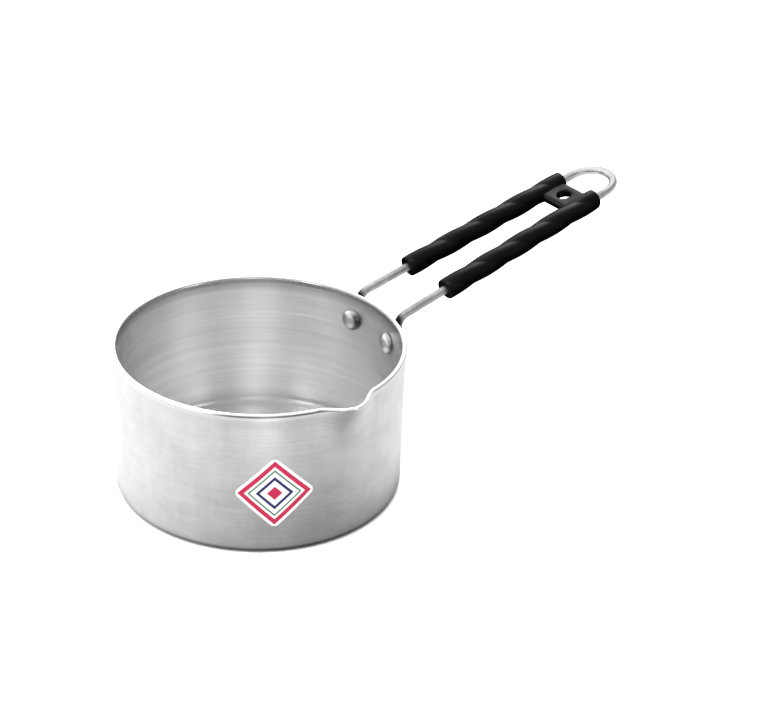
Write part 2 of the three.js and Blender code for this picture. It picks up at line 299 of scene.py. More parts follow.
class Finish:
    """A material, its surface shader and the start of its node tree."""

    def __init__(self, name, **constants):
        self.material = bpy.data.materials.new(name)
        self.material.use_nodes = True
        self.tree = self.material.node_tree
        self.surface = self.tree.nodes["Principled BSDF"]
        self.shade = Shade(self.tree)
        for socket, value in constants.items():
            self.surface.inputs[socket.replace("_", " ")].default_value = value

    def feed(self, **links):
        """Links what varies over the surface to the shader's inputs."""
        for socket, value in links.items():
            self.tree.links.new(value.socket, self.surface.inputs[socket.replace("_", " ")])

    def place(self):
        """The x, y and z of the surface, in metres from the middle of the base."""
        return self.shade.node("ShaderNodeTexCoord", output="Object").parts()

    def noise(self, place, grain, detail, roughness):
        """Noise over a place, with a grain in waves per unit of each of its values."""
        waves = [value * count for value, count in zip(place, grain)]
        point = self.shade.node("ShaderNodeCombineXYZ", None, dict(zip("XYZ", waves)))
        return self.shade.node("ShaderNodeTexNoise", None,
                               {"Vector": point, "Scale": 1.0, "Detail": detail, "Roughness": roughness})

    def bump(self, height, relief):
        return self.shade.node("ShaderNodeBump", None, {"Height": height, "Distance": relief})


def grey(value):
    return (value, value, value, 1.0)


def hypotenuse(x, y):
    return (x * x + y * y) ** 0.5


def toward(bearing, x, y):
    """How far a place or a direction reaches along a bearing."""
    return x * math.cos(bearing) + y * math.sin(bearing)


def pan_place(finish):
    """The x, y and z of the pan's surface, and its distance from the axis."""
    x, y, z = finish.place()
    return x, y, z, hypotenuse(x, y)


SATIN_DARK = grey(0.76)
SATIN_LIGHT = grey(0.96)
SATIN_ROUGHNESS = 0.33
SATIN_RELIEF = 0.00012
SPECK_GREY = grey(0.30)
SPECK_STRENGTH = 0.35
SPECK_LIMITS = (0.79, 0.84)


def satin_outside():
    """Satin metal with cloudy handling marks, upright streaks, faint spinning lines and a few specks."""
    finish = Finish("pan_satin_outside", Metallic=1.0, Anisotropic=0.35, Anisotropic_Rotation=0.25)
    x, y, z, radius = pan_place(finish)
    clouds = finish.noise((x, y, z), grain=(60, 60, 85), detail=5.0, roughness=0.65)
    streaks = finish.noise((x, y, z), grain=(120, 120, 14), detail=3.0, roughness=0.6)
    spin = finish.noise((x, y, z + radius), grain=(6, 6, 1400), detail=2.0, roughness=0.5)
    specks = finish.noise((x, y, z), grain=(330, 330, 330), detail=1.0, roughness=0.4)
    speck = specks.between(*SPECK_LIMITS) * SPECK_STRENGTH
    tone = 0.5 + clouds.swing(1.50) + streaks.swing(0.80) + spin.swing(0.50)
    finish.feed(
        Base_Color=speck.colours(tone.colours(SATIN_DARK, SATIN_LIGHT), SPECK_GREY),
        Roughness=SATIN_ROUGHNESS + clouds.swing(0.16) + spin.swing(0.10),
        Normal=finish.bump(spin * 0.5 + streaks * 0.6 + clouds * 1.6, SATIN_RELIEF),
    )
    return finish.material


RIM_WORN = grey(0.86)
RIM_BRIGHT = grey(0.99)
RIM_ROUGHNESS = 0.20
RIM_RELIEF = 0.00004
# Painted shade on the rim's inner edge.
INNER_EDGE_SHADE_GREY = grey(0.36)
INNER_EDGE_SHADE_STRENGTH = 0.8
INNER_EDGE_SHADE_RADII = (RIM_RADIUS - 0.0028, RIM_RADIUS - 0.0014)
# A thin painted shadow line near the top of the rim, beside the lip.
RIM_SHADOW_GREY = grey(0.04)
RIM_SHADOW_STRENGTH = 0.80
RIM_SHADOW_SIDE = math.radians(-118)
RIM_SHADOW_ARC = (0.86, 0.97)
RIM_SHADOW_FOOT = (PAN_HEIGHT - 0.0015, PAN_HEIGHT - 0.0010)
RIM_SHADOW_TOP = (PAN_HEIGHT - 0.0005, PAN_HEIGHT - 0.0002)


def bright_rim():
    """A turned and worn rim, with painted shade on its inner edge and a thin painted shadow line near its top
    beside the lip.
    """
    finish = Finish("pan_bright_rim", Metallic=1.0, Anisotropic=0.2, Anisotropic_Rotation=0.25)
    x, y, z, radius = pan_place(finish)
    wear = finish.noise((x, y, radius - z), grain=(90, 90, 500), detail=3.0, roughness=0.6)
    turning = finish.noise((x, y, radius - z), grain=(5, 5, 2600), detail=2.0, roughness=0.5)
    bright = (wear * 0.6 + turning * 0.4).colours(RIM_WORN, RIM_BRIGHT)
    # Painted shade on the inner edge, and the scuff is a painted shadow line beside the lip.
    inner_edge_shade = (1 - radius.between(*INNER_EDGE_SHADE_RADII)) * INNER_EDGE_SHADE_STRENGTH
    beside_lip = (toward(RIM_SHADOW_SIDE, x, y) / radius).between(*RIM_SHADOW_ARC)
    scuff = z.within(RIM_SHADOW_FOOT, RIM_SHADOW_TOP) * beside_lip * RIM_SHADOW_STRENGTH
    finish.feed(
        Base_Color=scuff.colours(inner_edge_shade.colours(bright, INNER_EDGE_SHADE_GREY), RIM_SHADOW_GREY),
        Roughness=RIM_ROUGHNESS + wear * 0.10 + turning * 0.05,
        Normal=finish.bump(turning * 0.4 + wear, RIM_RELIEF),
    )
    return finish.material


SPUN_DARK = grey(0.80)
SPUN_LIGHT = grey(0.99)
SPUN_ROUGHNESS = 0.36
SPUN_RELIEF = 0.00010
# The dull grey and the dull amounts below are painted shade.
INSIDE_SHADE_GREY = grey(0.34)
NECK_SHADE = 0.58
NECK_HEIGHTS = (PAN_HEIGHT - 0.010, PAN_HEIGHT - 0.003)
FLOOR_SHADE = 0.34
FLOOR_HEIGHTS = (BASE_THICKNESS, BASE_THICKNESS + 0.011)
FLOOR_RADII = (0.040, 0.058)
LOW_WALL_SHADE = 0.06
LOW_WALL_HEIGHTS = (0.010, 0.050)
CORNER_SHADE = 0.36
CORNER_FOOT = (BASE_THICKNESS, BASE_THICKNESS + 0.0006)
CORNER_TOP = (BASE_THICKNESS + 0.0025, BASE_THICKNESS + 0.0055)


def spun_inside():
    """Spinning lines, coarse and fine, with painted shade under the rim, low on the wall, round the floor and
    over the corner.
    """
    finish = Finish("pan_spun_inside", Metallic=1.0, Anisotropic=0.6, Anisotropic_Rotation=0.25)
    x, y, z, radius = pan_place(finish)
    fine = finish.noise((x, y, z + radius), grain=(6, 6, 800), detail=3.0, roughness=0.6)
    bands = finish.noise((x, y, z + radius), grain=(9, 9, 190), detail=3.0, roughness=0.6)
    haze = finish.noise((x, y, z + radius), grain=(16, 16, 20), detail=3.0, roughness=0.55)
    tone = 0.5 + fine.swing(1.30) + bands.swing(1.20) + haze.swing(0.50)
    # The dull mask is painted shade: under the rim, low on the wall, round the floor and over the corner's
    # highlight.
    dull = (
        z.between(*NECK_HEIGHTS) * NECK_SHADE
        + (1 - z.between(*FLOOR_HEIGHTS)) * radius.between(*FLOOR_RADII) * FLOOR_SHADE
        + (1 - z.between(*LOW_WALL_HEIGHTS)) * LOW_WALL_SHADE
        + z.within(CORNER_FOOT, CORNER_TOP) * CORNER_SHADE
    )
    finish.feed(
        Base_Color=dull.colours(tone.colours(SPUN_DARK, SPUN_LIGHT), INSIDE_SHADE_GREY),
        Roughness=SPUN_ROUGHNESS + bands.swing(0.14) + fine.swing(0.08),
        Normal=finish.bump(fine * 0.6 + bands, SPUN_RELIEF),
    )
    return finish.material


pan = add_piece("pan_spun", pan_mesh, [satin_outside(), bright_rim(), spun_inside()])
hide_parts("pan_body")
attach(pan, "root")


# Rivets
# Two soft aluminium rivets, each through the wall and through one flattened end of the wire.
# Each has a domed head inside the pan and a flatter head, formed by hammering, outside.
GAP = 0.0003
RIVET_HEIGHT = 0.0685
SHANK_RADIUS = 0.0022
INNER_HEAD_RADIUS = 0.0062
INNER_HEAD_HEIGHT = 0.0038
OUTER_HEAD_RADIUS = 0.0040
OUTER_HEAD_HEIGHT = 0.0020
HEAD_EDGE = 0.0005
HEAD_RINGS = 12
HEAD_SIDES = 48
HEAD_CRISP = math.radians(50)
TAB_THICKNESS = 0.0022
HANDLE_SLOPE = math.radians(13.8)
GRIP_FRONT = Vector((0.1137, 0.0, 0.0909))
LEG_SPACING = 0.0346
LEG_CLOSING = 0.0436
BEND_REACH = 0.0339
SIDES = {"left": 1, "right": -1}
along = Vector((math.cos(HANDLE_SLOPE), 0.0, math.sin(HANDLE_SLOPE)))
across = Vector((0.0, 1.0, 0.0))


def leg_point(distance, side):
    """A point on the middle of one leg of the wire, measured along the handle from the front of the grip."""
    return GRIP_FRONT + along * distance + across * (side * (LEG_SPACING - LEG_CLOSING * distance) / 2)


def outward(side):
    """The level direction from the pan's axis to one leg's bend, which is its rivet's axis."""
    corner = leg_point(-BEND_REACH, side)
    return Vector((corner.x, corner.y, 0.0)).normalized()


def head_outline(radius, height):
    """A head's section from its seat to just short of its top."""
    turns = [step / HEAD_RINGS * math.pi / 2 for step in range(HEAD_RINGS)]
    dome = [(radius * math.cos(turn), HEAD_EDGE + (height - HEAD_EDGE) * math.sin(turn)) for turn in turns]
    return [(radius, 0.0)] + dome


def rivet(side):
    """One rivet, turned about its axis from the top of its inner head to the top of its outer head."""
    axis = outward(side)
    sideways = Vector((-axis.y, axis.x, 0.0))
    inner_wall = wall_radius(RIVET_HEIGHT) - WALL_THICKNESS
    inner_seat = math.sqrt(inner_wall ** 2 - INNER_HEAD_RADIUS ** 2) - GAP
    outer_seat = wall_radius(RIVET_HEIGHT) + TAB_THICKNESS + 2 * GAP
    inner_head = head_outline(INNER_HEAD_RADIUS, INNER_HEAD_HEIGHT)
    outer_head = head_outline(OUTER_HEAD_RADIUS, OUTER_HEAD_HEIGHT)
    outline = [(radius, inner_seat - rise) for radius, rise in reversed(inner_head)]
    outline += [(SHANK_RADIUS, inner_seat), (SHANK_RADIUS, outer_seat)]
    outline += [(radius, outer_seat + rise) for radius, rise in outer_head]
    mesh = bmesh.new()
    rings = []
    for radius, reach in outline:
        ring = []
        for step in range(HEAD_SIDES):
            turn = 2 * math.pi * step / HEAD_SIDES
            point = axis * reach + sideways * (radius * math.cos(turn))
            ring.append(mesh.verts.new(point + Vector((0.0, 0.0, RIVET_HEIGHT + radius * math.sin(turn)))))
        rings.append(ring)
    level = Vector((0.0, 0.0, RIVET_HEIGHT))
    join_rings(mesh, rings)
    close_end(mesh, rings[0][::-1], axis * (inner_seat - INNER_HEAD_HEIGHT) + level)
    close_end(mesh, rings[-1], axis * (outer_seat + OUTER_HEAD_HEIGHT) + level)
    return mesh


RIVET_DARK = grey(0.70)
RIVET_LIGHT = grey(0.95)
RIVET_ROUGHNESS = 0.16
RIVET_RELIEF = 0.0004
# The grime is painted shade, a dark ring round the edge of each head.
RIVET_SHADE_GREY = grey(0.04)
RIVET_SHADE_STRENGTH = 0.9
RIVET_SHADE_EVEN = 0.35
RIVET_SHADE_RADII = (0.0040, 0.0060)
RIVET_SHADE_LEAN = (-0.001, 0.004)


def soft_rivet_metal():
    """Hammered soft metal, with painted shade round the edge of each head, thicker low down and on the lip's
    side.
    """
    finish = Finish("rivet_soft_metal", Metallic=1.0)
    x, y, z = finish.place()
    hammer = finish.noise((x, y, z), grain=(260, 260, 260), detail=2.0, roughness=0.5)
    scuff = finish.noise((x, y, z), grain=(1500, 1500, 700), detail=3.0, roughness=0.6)
    seat = outward(SIDES["left"]) * wall_radius(RIVET_HEIGHT)
    beside = y.sign() * seat.y - y
    rise = z - RIVET_HEIGHT
    # A dark ring of painted shade round each head's edge, heavier low down and to one side.
    edge = hypotenuse(beside, rise).between(*RIVET_SHADE_RADII)
    lean = (beside - rise * 0.5).between(*RIVET_SHADE_LEAN)
    rivet_shade = edge * (RIVET_SHADE_EVEN + (1 - RIVET_SHADE_EVEN) * lean) * RIVET_SHADE_STRENGTH
    metal = (hammer * 0.5 + scuff * 0.5).colours(RIVET_DARK, RIVET_LIGHT)
    finish.feed(
        Base_Color=rivet_shade.colours(metal, RIVET_SHADE_GREY),
        Roughness=RIVET_ROUGHNESS + scuff * 0.16,
        Normal=finish.bump(hammer + scuff * 0.15, RIVET_RELIEF),
    )
    return finish.material


rivet_finish = soft_rivet_metal()
rivets = []
for name, side in SIDES.items():
    made = add_piece(f"rivet_head_{name}", rivet(side), [rivet_finish], HEAD_CRISP)
    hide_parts(f"rivet_{name}")
    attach(made, "root")
    rivets.append(made)


# Handle wire
# One length of bright drawn steel wire, bent to a long loop. Each end turns down outside the wall
# and is hammered flat to a tab that its rivet passes through.
WIRE_DIAMETER = 0.0048
WIRE_SIDES = 28
WIRE_CRISP = math.radians(55)
BEND_CUT = 0.0055
LOOP_CENTRE = 0.1238
TAB_WIDTH = 0.0094
TAB_SHOULDER = 0.0032
TAB_END = 0.0052
TAB_TIP = 0.2
ROUND_POWER = 2.0
TAB_POWER = 5.0
TAB_RINGS = 30
BEND_RINGS = 16
LEG_RINGS = 24
LOOP_RINGS = 64


def mix(first, second, share):
    return first + (second - first) * share


def leg_path(side, loop_start):
    """Points of the wire's middle from the end of one tab to the start of the loop."""
    corner = leg_point(-BEND_REACH, side)
    tab_end = Vector((corner.x, corner.y, RIVET_HEIGHT - TAB_END))
    bend_start = corner - Vector((0.0, 0.0, BEND_CUT))
    bend_end = leg_point(BEND_CUT - BEND_REACH, side)
    path = [tab_end.lerp(bend_start, step / TAB_RINGS) for step in range(TAB_RINGS)]
    for step in range(BEND_RINGS):
        share = step / BEND_RINGS
        path.append(bend_start.lerp(corner, share).lerp(corner.lerp(bend_end, share), share))
    path += [bend_end.lerp(loop_start, step / LEG_RINGS) for step in range(LEG_RINGS)]
    return path


def loop_path():
    """Points round the bow of the wire, tangent to both legs."""
    closing = math.atan(LEG_CLOSING / 2)
    start = leg_point(LOOP_CENTRE, SIDES["left"])
    bow = start.y * math.cos(closing)
    reach = math.pi / 2 - closing
    centre = Vector((start.x, 0.0, start.z))
    turns = [mix(-reach, reach, step / LOOP_RINGS) for step in range(LOOP_RINGS + 1)]
    return [centre + along * (bow * math.cos(turn)) + across * (bow * math.sin(turn)) for turn in turns]


def squared_off(share, power, size):
    """Half a section's size at a cosine or sine, where a lower power gives a squarer section."""
    return math.copysign(abs(share) ** power, share) * size / 2


loop = loop_path()
path = leg_path(SIDES["right"], loop[0]) + loop + leg_path(SIDES["left"], loop[-1])[::-1]
bend_corner = leg_point(-BEND_REACH, SIDES["left"])
bend_foot = bend_corner.z - BEND_CUT
tab_middle = wall_radius(RIVET_HEIGHT) + GAP + TAB_THICKNESS / 2
tab_inset = math.hypot(bend_corner.x, bend_corner.y) - tab_middle
wire_mesh = bmesh.new()
wire_rings = []
sideways = Vector((0.0, 0.0, 1.0)).cross(outward(SIDES["right"]))
last_heading = None
for index, point in enumerate(path):
    heading = (path[min(index + 1, len(path) - 1)] - path[max(index - 1, 0)]).normalized()
    if last_heading is not None:
        sideways.rotate(last_heading.rotation_difference(heading))
    last_heading = heading
    face_up = heading.cross(sideways)
    flat = smooth_rise(bend_foot - point.z, TAB_SHOULDER)
    past_rivet = max(RIVET_HEIGHT - point.z, 0.0) / TAB_END
    rounding = math.sqrt(max(1 - past_rivet ** 2, TAB_TIP ** 2))
    width = mix(WIRE_DIAMETER, TAB_WIDTH, flat) * rounding
    thickness = mix(WIRE_DIAMETER, TAB_THICKNESS, flat)
    power = 2 / mix(ROUND_POWER, TAB_POWER, flat)
    middle = point - Vector((point.x, point.y, 0.0)).normalized() * (flat * tab_inset)
    ring = []
    for step in range(WIRE_SIDES):
        turn = 2 * math.pi * step / WIRE_SIDES
        wide = squared_off(math.cos(turn), power, width)
        thick = squared_off(math.sin(turn), power, thickness)
        ring.append(wire_mesh.verts.new(middle + sideways * wide + face_up * thick))
    wire_rings.append(ring)
join_rings(wire_mesh, wire_rings)
wire_mesh.faces.new(wire_rings[0][::-1])
wire_mesh.faces.new(wire_rings[-1])

STEEL_DARK = grey(0.38)
STEEL_LIGHT = grey(0.76)
STEEL_LIMITS = (0.3, 0.7)
STEEL_TINT = grey(0.45)
STEEL_ROUGHNESS = 0.32
STEEL_RELIEF = 0.00005
# The stain is painted shade where the bends turn down beside the rim.
BEND_SHADE_GREY = grey(0.02)
BEND_SHADE_REACH = (0.0802, 0.0832)
BEND_SHADE_HEIGHTS = (0.0770, 0.0806)
# At the loop the metal is smoother, and its colour is painted lighter as a painted highlight.
LOOP_HIGHLIGHT_GREY = grey(0.84)
LOOP_HIGHLIGHT_STRENGTH = 0.6
LOOP_POLISH_AND_HIGHLIGHT = (0.2290, 0.2400)


def drawn_steel():
    """Steel with drawing lines and dull patches, painted shade at its bends and a painted highlight on its
    smoother loop.
    """
    finish = Finish("handle_drawn_steel", Metallic=1.0, Specular_Tint=STEEL_TINT)
    x, y, z = finish.place()
    drawn = finish.noise((x, y, z), grain=(60, 2600, 2600), detail=2.0, roughness=0.5)
    dull = finish.noise((x, y, z), grain=(150, 150, 150), detail=3.0, roughness=0.6)
    # Painted shade at the bends, and at the loop less roughness with a painted highlight.
    bend_shade = (1 - x.between(*BEND_SHADE_REACH)) * z.between(*BEND_SHADE_HEIGHTS)
    polish_and_highlight = x.between(*LOOP_POLISH_AND_HIGHLIGHT)
    steel = (dull * 0.6 + drawn * 0.4).between(*STEEL_LIMITS).colours(STEEL_DARK, STEEL_LIGHT)
    steel = (polish_and_highlight * LOOP_HIGHLIGHT_STRENGTH).colours(steel, LOOP_HIGHLIGHT_GREY)
    finish.feed(
        Base_Color=bend_shade.colours(steel, BEND_SHADE_GREY),
        Roughness=STEEL_ROUGHNESS + drawn * 0.10 + dull * 0.20 - polish_and_highlight * 0.34,
        Normal=finish.bump(drawn * 0.5 + dull, STEEL_RELIEF),
    )
    return finish.material


wire = add_piece("handle_drawn_wire", wire_mesh, [drawn_steel()], WIRE_CRISP)
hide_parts("handle_wire")
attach(wire, "root")


# Twin grip
# One black plastic moulding: two sleeves on the wire's legs, each of two lobes twisted like a rope,
# joined near the loop by a flat web with a round hole.
GRIP_LENGTH = 0.1154
GRIP_ROUNDING = 0.0008
GRIP_CRISP = math.radians(32)
LOBES = 2
LOBE_RADIUS = 0.0055
LOBE_OFFSET = 0.00072
LOBE_STEPS = 36
TWIST_LENGTH = 0.0503
TWIST_START = math.radians(6.5)
SLEEVE_RINGS = 180
ROUNDING_RINGS = 5
WEB_START = 0.0955
WEB_LENGTH = 0.0185
WEB_THICKNESS = 0.005
WEB_ROOT = 0.0034
WEB_EDGE = 0.0023
WEB_EDGE_STEPS = 8
WEB_HOLE_RADIUS = 0.0038
WEB_HOLE_EDGE = 0.0012
WEB_HOLE_SIDES = 64
above = Vector((-math.sin(HANDLE_SLOPE), 0.0, math.cos(HANDLE_SLOPE)))


def lobe_reach(turn):
    """How far the lobed section reaches at an angle."""
    lobe = math.pi / LOBES
    local = (turn + lobe) % (2 * lobe) - lobe
    return LOBE_OFFSET * math.cos(local) + math.sqrt(LOBE_RADIUS ** 2 - (LOBE_OFFSET * math.sin(local)) ** 2)


def sleeve(side):
    """One twisted sleeve with its bore, laid along its leg."""
    start = leg_point(0.0, side)
    heading = (leg_point(1.0, side) - start).normalized()
    lateral = above.cross(heading)
    count = LOBES * LOBE_STEPS
    turns = [2 * math.pi * step / count + math.pi / LOBES for step in range(count)]
    lobes = [lobe_reach(turn) for turn in turns]
    bore = [WIRE_DIAMETER / 2 + GAP] * count
    bends = [step / ROUNDING_RINGS * math.pi / 2 for step in range(ROUNDING_RINGS)]
    front = [(GRIP_ROUNDING * (1 - math.cos(bend)), GRIP_ROUNDING * (1 - math.sin(bend))) for bend in bends]
    shares = [step / SLEEVE_RINGS for step in range(SLEEVE_RINGS + 1)]
    body = [(mix(GRIP_ROUNDING, GRIP_LENGTH - GRIP_ROUNDING, share), 0.0) for share in shares]
    back = [(GRIP_LENGTH - distance, cut) for distance, cut in reversed(front)]
    mesh = bmesh.new()

    def twisted_ring(distance, reaches):
        twist = TWIST_START + 2 * math.pi * distance / TWIST_LENGTH
        ring = []
        for turn, reach in zip(turns, reaches):
            spoke = lateral * math.cos(turn + twist) + above * math.sin(turn + twist)
            ring.append(mesh.verts.new(start + heading * distance + spoke * reach))
        return ring

    rings = [twisted_ring(distance, [lobe - cut for lobe in lobes]) for distance, cut in front + body + back]
    rings += [twisted_ring(GRIP_LENGTH, bore), twisted_ring(0.0, bore)]
    join_rings(mesh, rings + rings[:1])
    return mesh


def web():
    """The pierced plate, with its edges eased, reaching into both sleeves."""
    mesh = bmesh.new()
    middle = WEB_START + WEB_LENGTH / 2
    half_width = LEG_SPACING / 2 - LEG_CLOSING * middle / 2 - WEB_ROOT

    def plate_point(forward, sideways, lift):
        return mesh.verts.new(GRIP_FRONT + along * (middle + forward) + across * sideways + lift)

    edges, holes = [], []
    bends = [step / WEB_EDGE_STEPS * math.pi / 2 for step in range(WEB_EDGE_STEPS + 1)]
    for rise, bend in [(-1, bend) for bend in bends] + [(1, bend) for bend in reversed(bends)]:
        eased = 1 - math.sin(bend)
        half_length = WEB_LENGTH / 2 - WEB_EDGE * eased
        radius = WEB_HOLE_RADIUS + WEB_HOLE_EDGE * eased
        lift = above * (rise * (WEB_THICKNESS / 2 - WEB_EDGE * (1 - math.cos(bend))))
        edge, hole = [], []
        for step in range(WEB_HOLE_SIDES):
            turn = 2 * math.pi * (step + 0.5) / WEB_HOLE_SIDES
            forward, sideways = math.cos(turn), math.sin(turn)
            stretch = 1 / max(abs(forward), abs(sideways))
            edge.append(plate_point(half_length * forward * stretch, half_width * sideways * stretch, lift))
            hole.append(plate_point(radius * forward, radius * sideways, lift))
        edges.append(edge)
        holes.append(hole)
    rings = edges + holes[::-1]
    join_rings(mesh, rings + rings[:1])
    return mesh


GRIP_DARK = grey(0.0004)
GRIP_LIGHT = grey(0.0030)
GRIP_ROUGHNESS = 0.20
GRIP_RELIEF = 0.00008


def moulded_black():
    """Black plastic with a fine moulded skin and the marks of handling."""
    finish = Finish("grip_moulded_black", Metallic=0.0, Specular_IOR_Level=0.12)
    x, y, z = finish.place()
    skin = finish.noise((x, y, z), grain=(2600, 2600, 2600), detail=2.0, roughness=0.5)
    handling = finish.noise((x, y, z), grain=(120, 200, 200), detail=3.0, roughness=0.6)
    finish.feed(
        Base_Color=(handling * 0.7 + skin * 0.3).colours(GRIP_DARK, GRIP_LIGHT),
        Roughness=GRIP_ROUGHNESS + handling * 0.14 + skin * 0.06,
        Normal=finish.bump(skin * 0.35 + handling, GRIP_RELIEF),
    )
    return finish.material


grip_finish = moulded_black()
web_piece = add_piece("grip_web", web(), [grip_finish])
sleeve_pieces = []
for name, side in SIDES.items():
    sleeve_pieces.append(add_piece(f"grip_sleeve_{name}", sleeve(side), [grip_finish]))
for part in sleeve_pieces:
    join = web_piece.modifiers.new("join", "BOOLEAN")
    join.operation = "UNION"
    join.solver = "EXACT"
    join.object = part
bpy.context.view_layer.update()
joined = bpy.data.meshes.new_from_object(web_piece.evaluated_get(bpy.context.evaluated_depsgraph_get()))
joined.name = "grip_moulded"
joined.shade_smooth()
joined.set_sharp_from_angle(angle=GRIP_CRISP)
grip = bpy.data.objects.new("grip_moulded", joined)
bpy.context.collection.objects.link(grip)
for part in [web_piece, *sleeve_pieces]:
    bpy.data.objects.remove(part)
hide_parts("twin_grip")
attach(grip, "root")


# Label
# A printed paper label, a square with rounded corners set on one corner, stuck to the wall beside the lip.
# It is white, with plain rings in crimson, green and navy.
LABEL_ANGLE = math.radians(-118)
LABEL_HEIGHT = 0.0372
LABEL_HALF = 0.0153
LABEL_ROUNDING = 0.0030
LABEL_FACE = 0.00016
LABEL_BACK = 0.00003
LABEL_STEPS = 48
LABEL_CRISP = math.radians(50)
label_mesh = bmesh.new()
print_map = label_mesh.loops.layers.uv.new("print")
print_places = {}


def rounded(p, q):
    """Draws a point of a square in towards its nearest corner's rounding."""
    straight = LABEL_HALF - LABEL_ROUNDING
    past_p, past_q = abs(p) - straight, abs(q) - straight
    if min(past_p, past_q) <= 0:
        return p, q
    share = max(past_p, past_q) / math.hypot(past_p, past_q)
    return math.copysign(straight + past_p * share, p), math.copysign(straight + past_q * share, q)


def label_sheet(lift):
    """Rows of vertices over one side of the label, lifted off the wall, each with its place in the print."""
    steps = [mix(-LABEL_HALF, LABEL_HALF, step / LABEL_STEPS) for step in range(LABEL_STEPS + 1)]
    sheet = []
    for row in steps:
        line = []
        for column in steps:
            p, q = rounded(column, row)
            height = LABEL_HEIGHT + (p + q) / math.sqrt(2)
            radius = wall_radius(height) + lift
            angle = LABEL_ANGLE + (p - q) / math.sqrt(2) / radius
            vertex = label_mesh.verts.new((radius * math.cos(angle), radius * math.sin(angle), height))
            print_places[vertex] = (0.5 + p / LABEL_HALF / 2, 0.5 + q / LABEL_HALF / 2)
            line.append(vertex)
        sheet.append(line)
    return sheet


def sheet_border(sheet):
    """A sheet's outer vertices, once round."""
    left_side = [line[0] for line in sheet]
    right_side = [line[-1] for line in sheet]
    return sheet[0] + right_side[1:] + sheet[-1][-2::-1] + left_side[-2:0:-1]


face_sheet = label_sheet(LABEL_FACE)
back_sheet = label_sheet(LABEL_BACK)
for sheet, order in ((face_sheet, 1), (back_sheet, -1)):
    for lower, upper in zip(sheet, sheet[1:]):
        for column in range(LABEL_STEPS):
            corners = (lower[column], lower[column + 1], upper[column + 1], upper[column])
            label_mesh.faces.new(corners[::order])
join_rings(label_mesh, [sheet_border(back_sheet), sheet_border(face_sheet)])
for face in label_mesh.faces:
    for corner in face.loops:
        corner[print_map].uv = print_places[corner.vert]

PAPER = (0.80, 0.80, 0.79, 1.0)
CRIMSON = (0.46, 0.004, 0.055, 1.0)
GREEN = (0.006, 0.13, 0.05, 1.0)
NAVY = (0.010, 0.009, 0.10, 1.0)
PRINTED_RINGS = ((0.74, 0.90, CRIMSON), (0.60, 0.655, GREEN), (0.36, 0.46, NAVY), (-0.10, 0.19, CRIMSON))
INK_EDGE = 0.008
FIBRE_GREY = grey(0.75)
FIBRE_STRENGTH = 0.03
PAPER_ROUGHNESS = 0.34
PAPER_RELIEF = 0.0004


def printed_paper():
    """White paper with square rings of ink, given by their edges as shares of the label's half width."""
    finish = Finish("label_printed_paper", Metallic=0.0, Specular_IOR_Level=0.2)
    p, q = finish.shade.node("ShaderNodeUVMap", {"uv_map": "print"}).parts()[:2]
    ring = abs(p - 0.5).at_least(abs(q - 0.5)) * 2
    fibres = finish.noise((p, q), grain=(90, 90), detail=3.0, roughness=0.6)
    creases = finish.noise((p, q), grain=(5, 5), detail=2.0, roughness=0.5)
    colour = PAPER
    for inner, outer, ink in PRINTED_RINGS:
        inked = ring.within((inner - INK_EDGE, inner + INK_EDGE), (outer - INK_EDGE, outer + INK_EDGE))
        colour = inked.colours(colour, ink)
    finish.feed(
        Base_Color=(fibres * FIBRE_STRENGTH).colours(colour, FIBRE_GREY),
        Roughness=PAPER_ROUGHNESS + fibres * 0.12,
        Normal=finish.bump(creases + fibres * 0.05, PAPER_RELIEF),
    )
    return finish.material


label = add_piece("label_paper", label_mesh, [printed_paper()], LABEL_CRISP)
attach(label, "root")


# Stage
# A white paper floor in a pale room, lit by soft boxes behind, overhead and to the left and by three strips.
# A glowing card under the floor, seen only in reflections, gives the pan its light and dark sides.
# Some of the lights reach only some of the pieces.
FLOOR_HALF = 6.0
FLOOR_DROP = 0.0002


def flat_sheet():
    mesh = bmesh.new()
    bmesh.ops.create_grid(mesh, x_segments=1, y_segments=1, size=FLOOR_HALF)
    return mesh


floor_finish = Finish("floor_paper", Base_Color=grey(0.9), Roughness=0.9)
floor = add_piece("floor", flat_sheet(), [floor_finish.material])
floor.location.z = -FLOOR_DROP
floor.visible_glossy = False


def soft_box(name, place, size, power):
    """A rectangular light aimed at the middle of the object."""
    light = bpy.data.lights.new(name, "AREA")
    light.shape = "RECTANGLE"
    light.size, light.size_y = size
    light.energy = power
    lamp = bpy.data.objects.new(name, light)
    bpy.context.collection.objects.link(lamp)
    aim = (AIM - Vector(place)).to_track_quat("-Z", "Y")
    lamp.matrix_world = Matrix.LocRotScale(Vector(place), aim, None)
    lamp.visible_camera = False
    return lamp


def light_only(lamp, lit):
    """Keeps a light to the objects it is set for."""
    lamp.light_linking.receiver_collection = bpy.data.collections.new(f"lit_by_{lamp.name}")
    for each in lit:
        lamp.light_linking.receiver_collection.objects.link(each)


behind_box = soft_box("soft_box_behind", place=(1.18, 1.41, 0.65), size=(1.1, 1.0), power=9.5)
light_only(behind_box, [pan, *rivets, label, floor])
edge_box = soft_box("soft_box_edge", place=(1.08, 0.67, 1.27), size=(1.1, 1.1), power=15.0)
edge_box.visible_diffuse = False
light_only(edge_box, [grip])
left_box = soft_box("soft_box_left", place=(-0.73, 1.13, 0.70), size=(0.5, 0.5), power=3.0)
left_box.visible_diffuse = False
light_only(left_box, [*rivets, grip])
overhead_box = soft_box("soft_box_overhead", place=(-0.2, 0.1, 2.2), size=(2.2, 2.2), power=105.0)
overhead_box.visible_glossy = False

